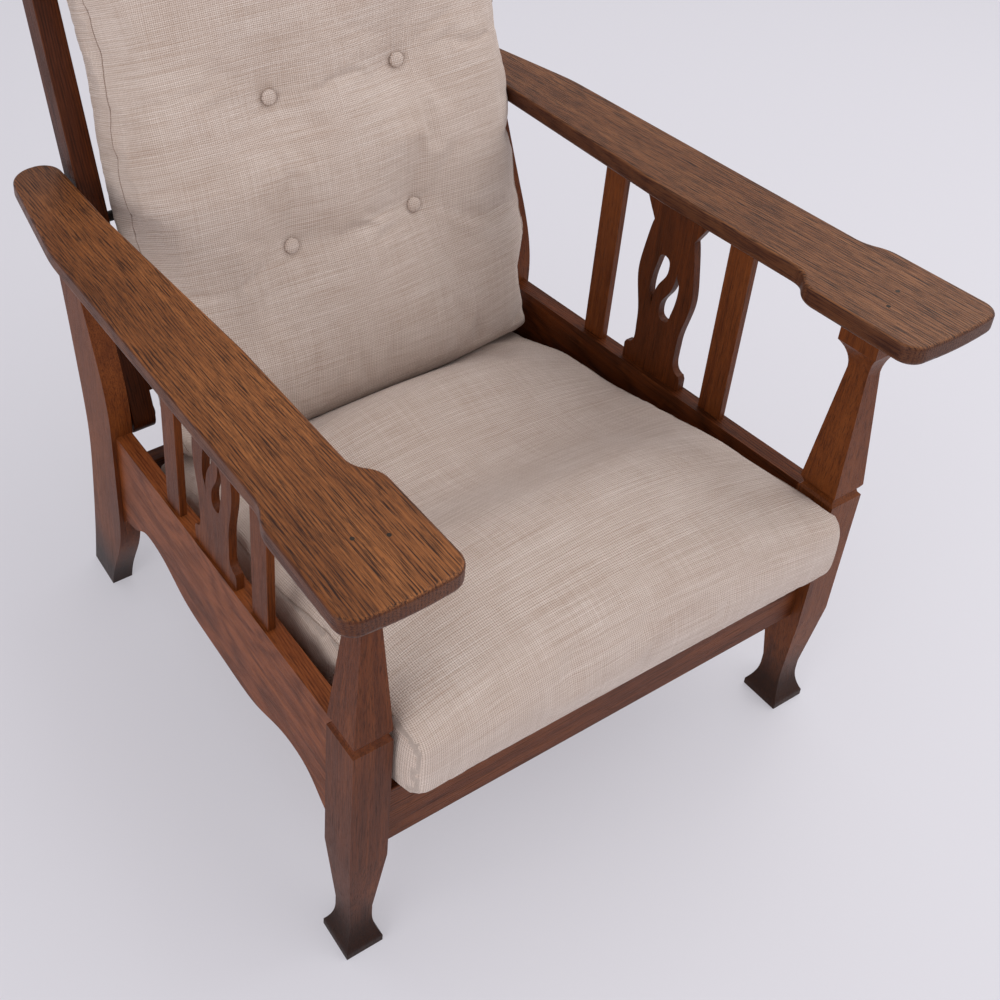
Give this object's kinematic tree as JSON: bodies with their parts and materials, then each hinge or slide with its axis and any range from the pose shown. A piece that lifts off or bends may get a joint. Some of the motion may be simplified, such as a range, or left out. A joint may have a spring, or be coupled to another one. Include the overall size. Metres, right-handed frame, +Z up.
{
  "type": "mission reclining armchair",
  "caption": "Oak reclining armchair with broad paddle arms, pierced side splats, a back that leans on an iron rod in notched racks, and loose boxed linen cushions.",
  "frame": {"origin": "middle of the footprint on the floor", "axes": "+Z up; the front of the chair faces -Y; +X is to the right of a viewer who faces the chair"},
  "size_m": [0.782, 0.9094, 0.971],
  "materials": {
    "stained_oak": "satin varnish over dark stained oak",
    "black_iron": "blackened",
    "dark_steel": "dull, aged",
    "linen_fabric": "slubbed oatmeal weave"
  },
  "bodies": {
    "chair": {"front_leg_left": "stained_oak", "back_leg_left": "stained_oak", "side_rail_left": "stained_oak", "front_slat_left": "stained_oak", "rear_slat_left": "stained_oak", "splat_left": "stained_oak", "arm_left": "stained_oak", "seat_cleat_left": "stained_oak", "pivot_pin_left": "dark_steel", "pivot_spacer_left": "dark_steel", "rack_left": "black_iron", "front_leg_right": "stained_oak", "back_leg_right": "stained_oak", "side_rail_right": "stained_oak", "front_slat_right": "stained_oak", "rear_slat_right": "stained_oak", "splat_right": "stained_oak", "arm_right": "stained_oak", "seat_cleat_right": "stained_oak", "pivot_pin_right": "dark_steel", "pivot_spacer_right": "dark_steel", "rack_right": "black_iron", "front_rail": "stained_oak", "back_rail": "stained_oak", "seat_slat_1": "stained_oak", "seat_slat_2": "stained_oak", "seat_slat_3": "stained_oak", "seat_slat_4": "stained_oak", "seat_slat_5": "stained_oak", "seat_slat_6": "stained_oak", "seat_slat_7": "stained_oak", "seat_cushion": "linen_fabric", "arm_nails": "dark_steel", "rack_screws": "dark_steel", "cleat_screws": "dark_steel", "slat_screws": "dark_steel"},
    "back_frame": {"back_stile_left": "stained_oak", "back_stile_right": "stained_oak", "back_bottom_rail": "stained_oak", "back_crest_rail": "stained_oak", "back_lath_1": "stained_oak", "back_lath_2": "stained_oak", "back_lath_3": "stained_oak", "back_lath_4": "stained_oak", "back_lath_5": "stained_oak", "back_cushion": "linen_fabric", "back_cushion_buttons": "linen_fabric"},
    "rod": {"support_rod": "black_iron"}
  },
  "joints": [
    {"name": "recline", "type": "hinge", "parent": "chair", "child": "back_frame", "pos_m": [0, 0.18731, 0.299], "axis": [1, 0, 0], "range_deg": [0, 13.3]},
    {"name": "rod_lift", "type": "slide", "parent": "chair", "child": "rod", "axis": [0, 0.3502, 0.9367], "range_m": [0, 0.034]}
  ]
}
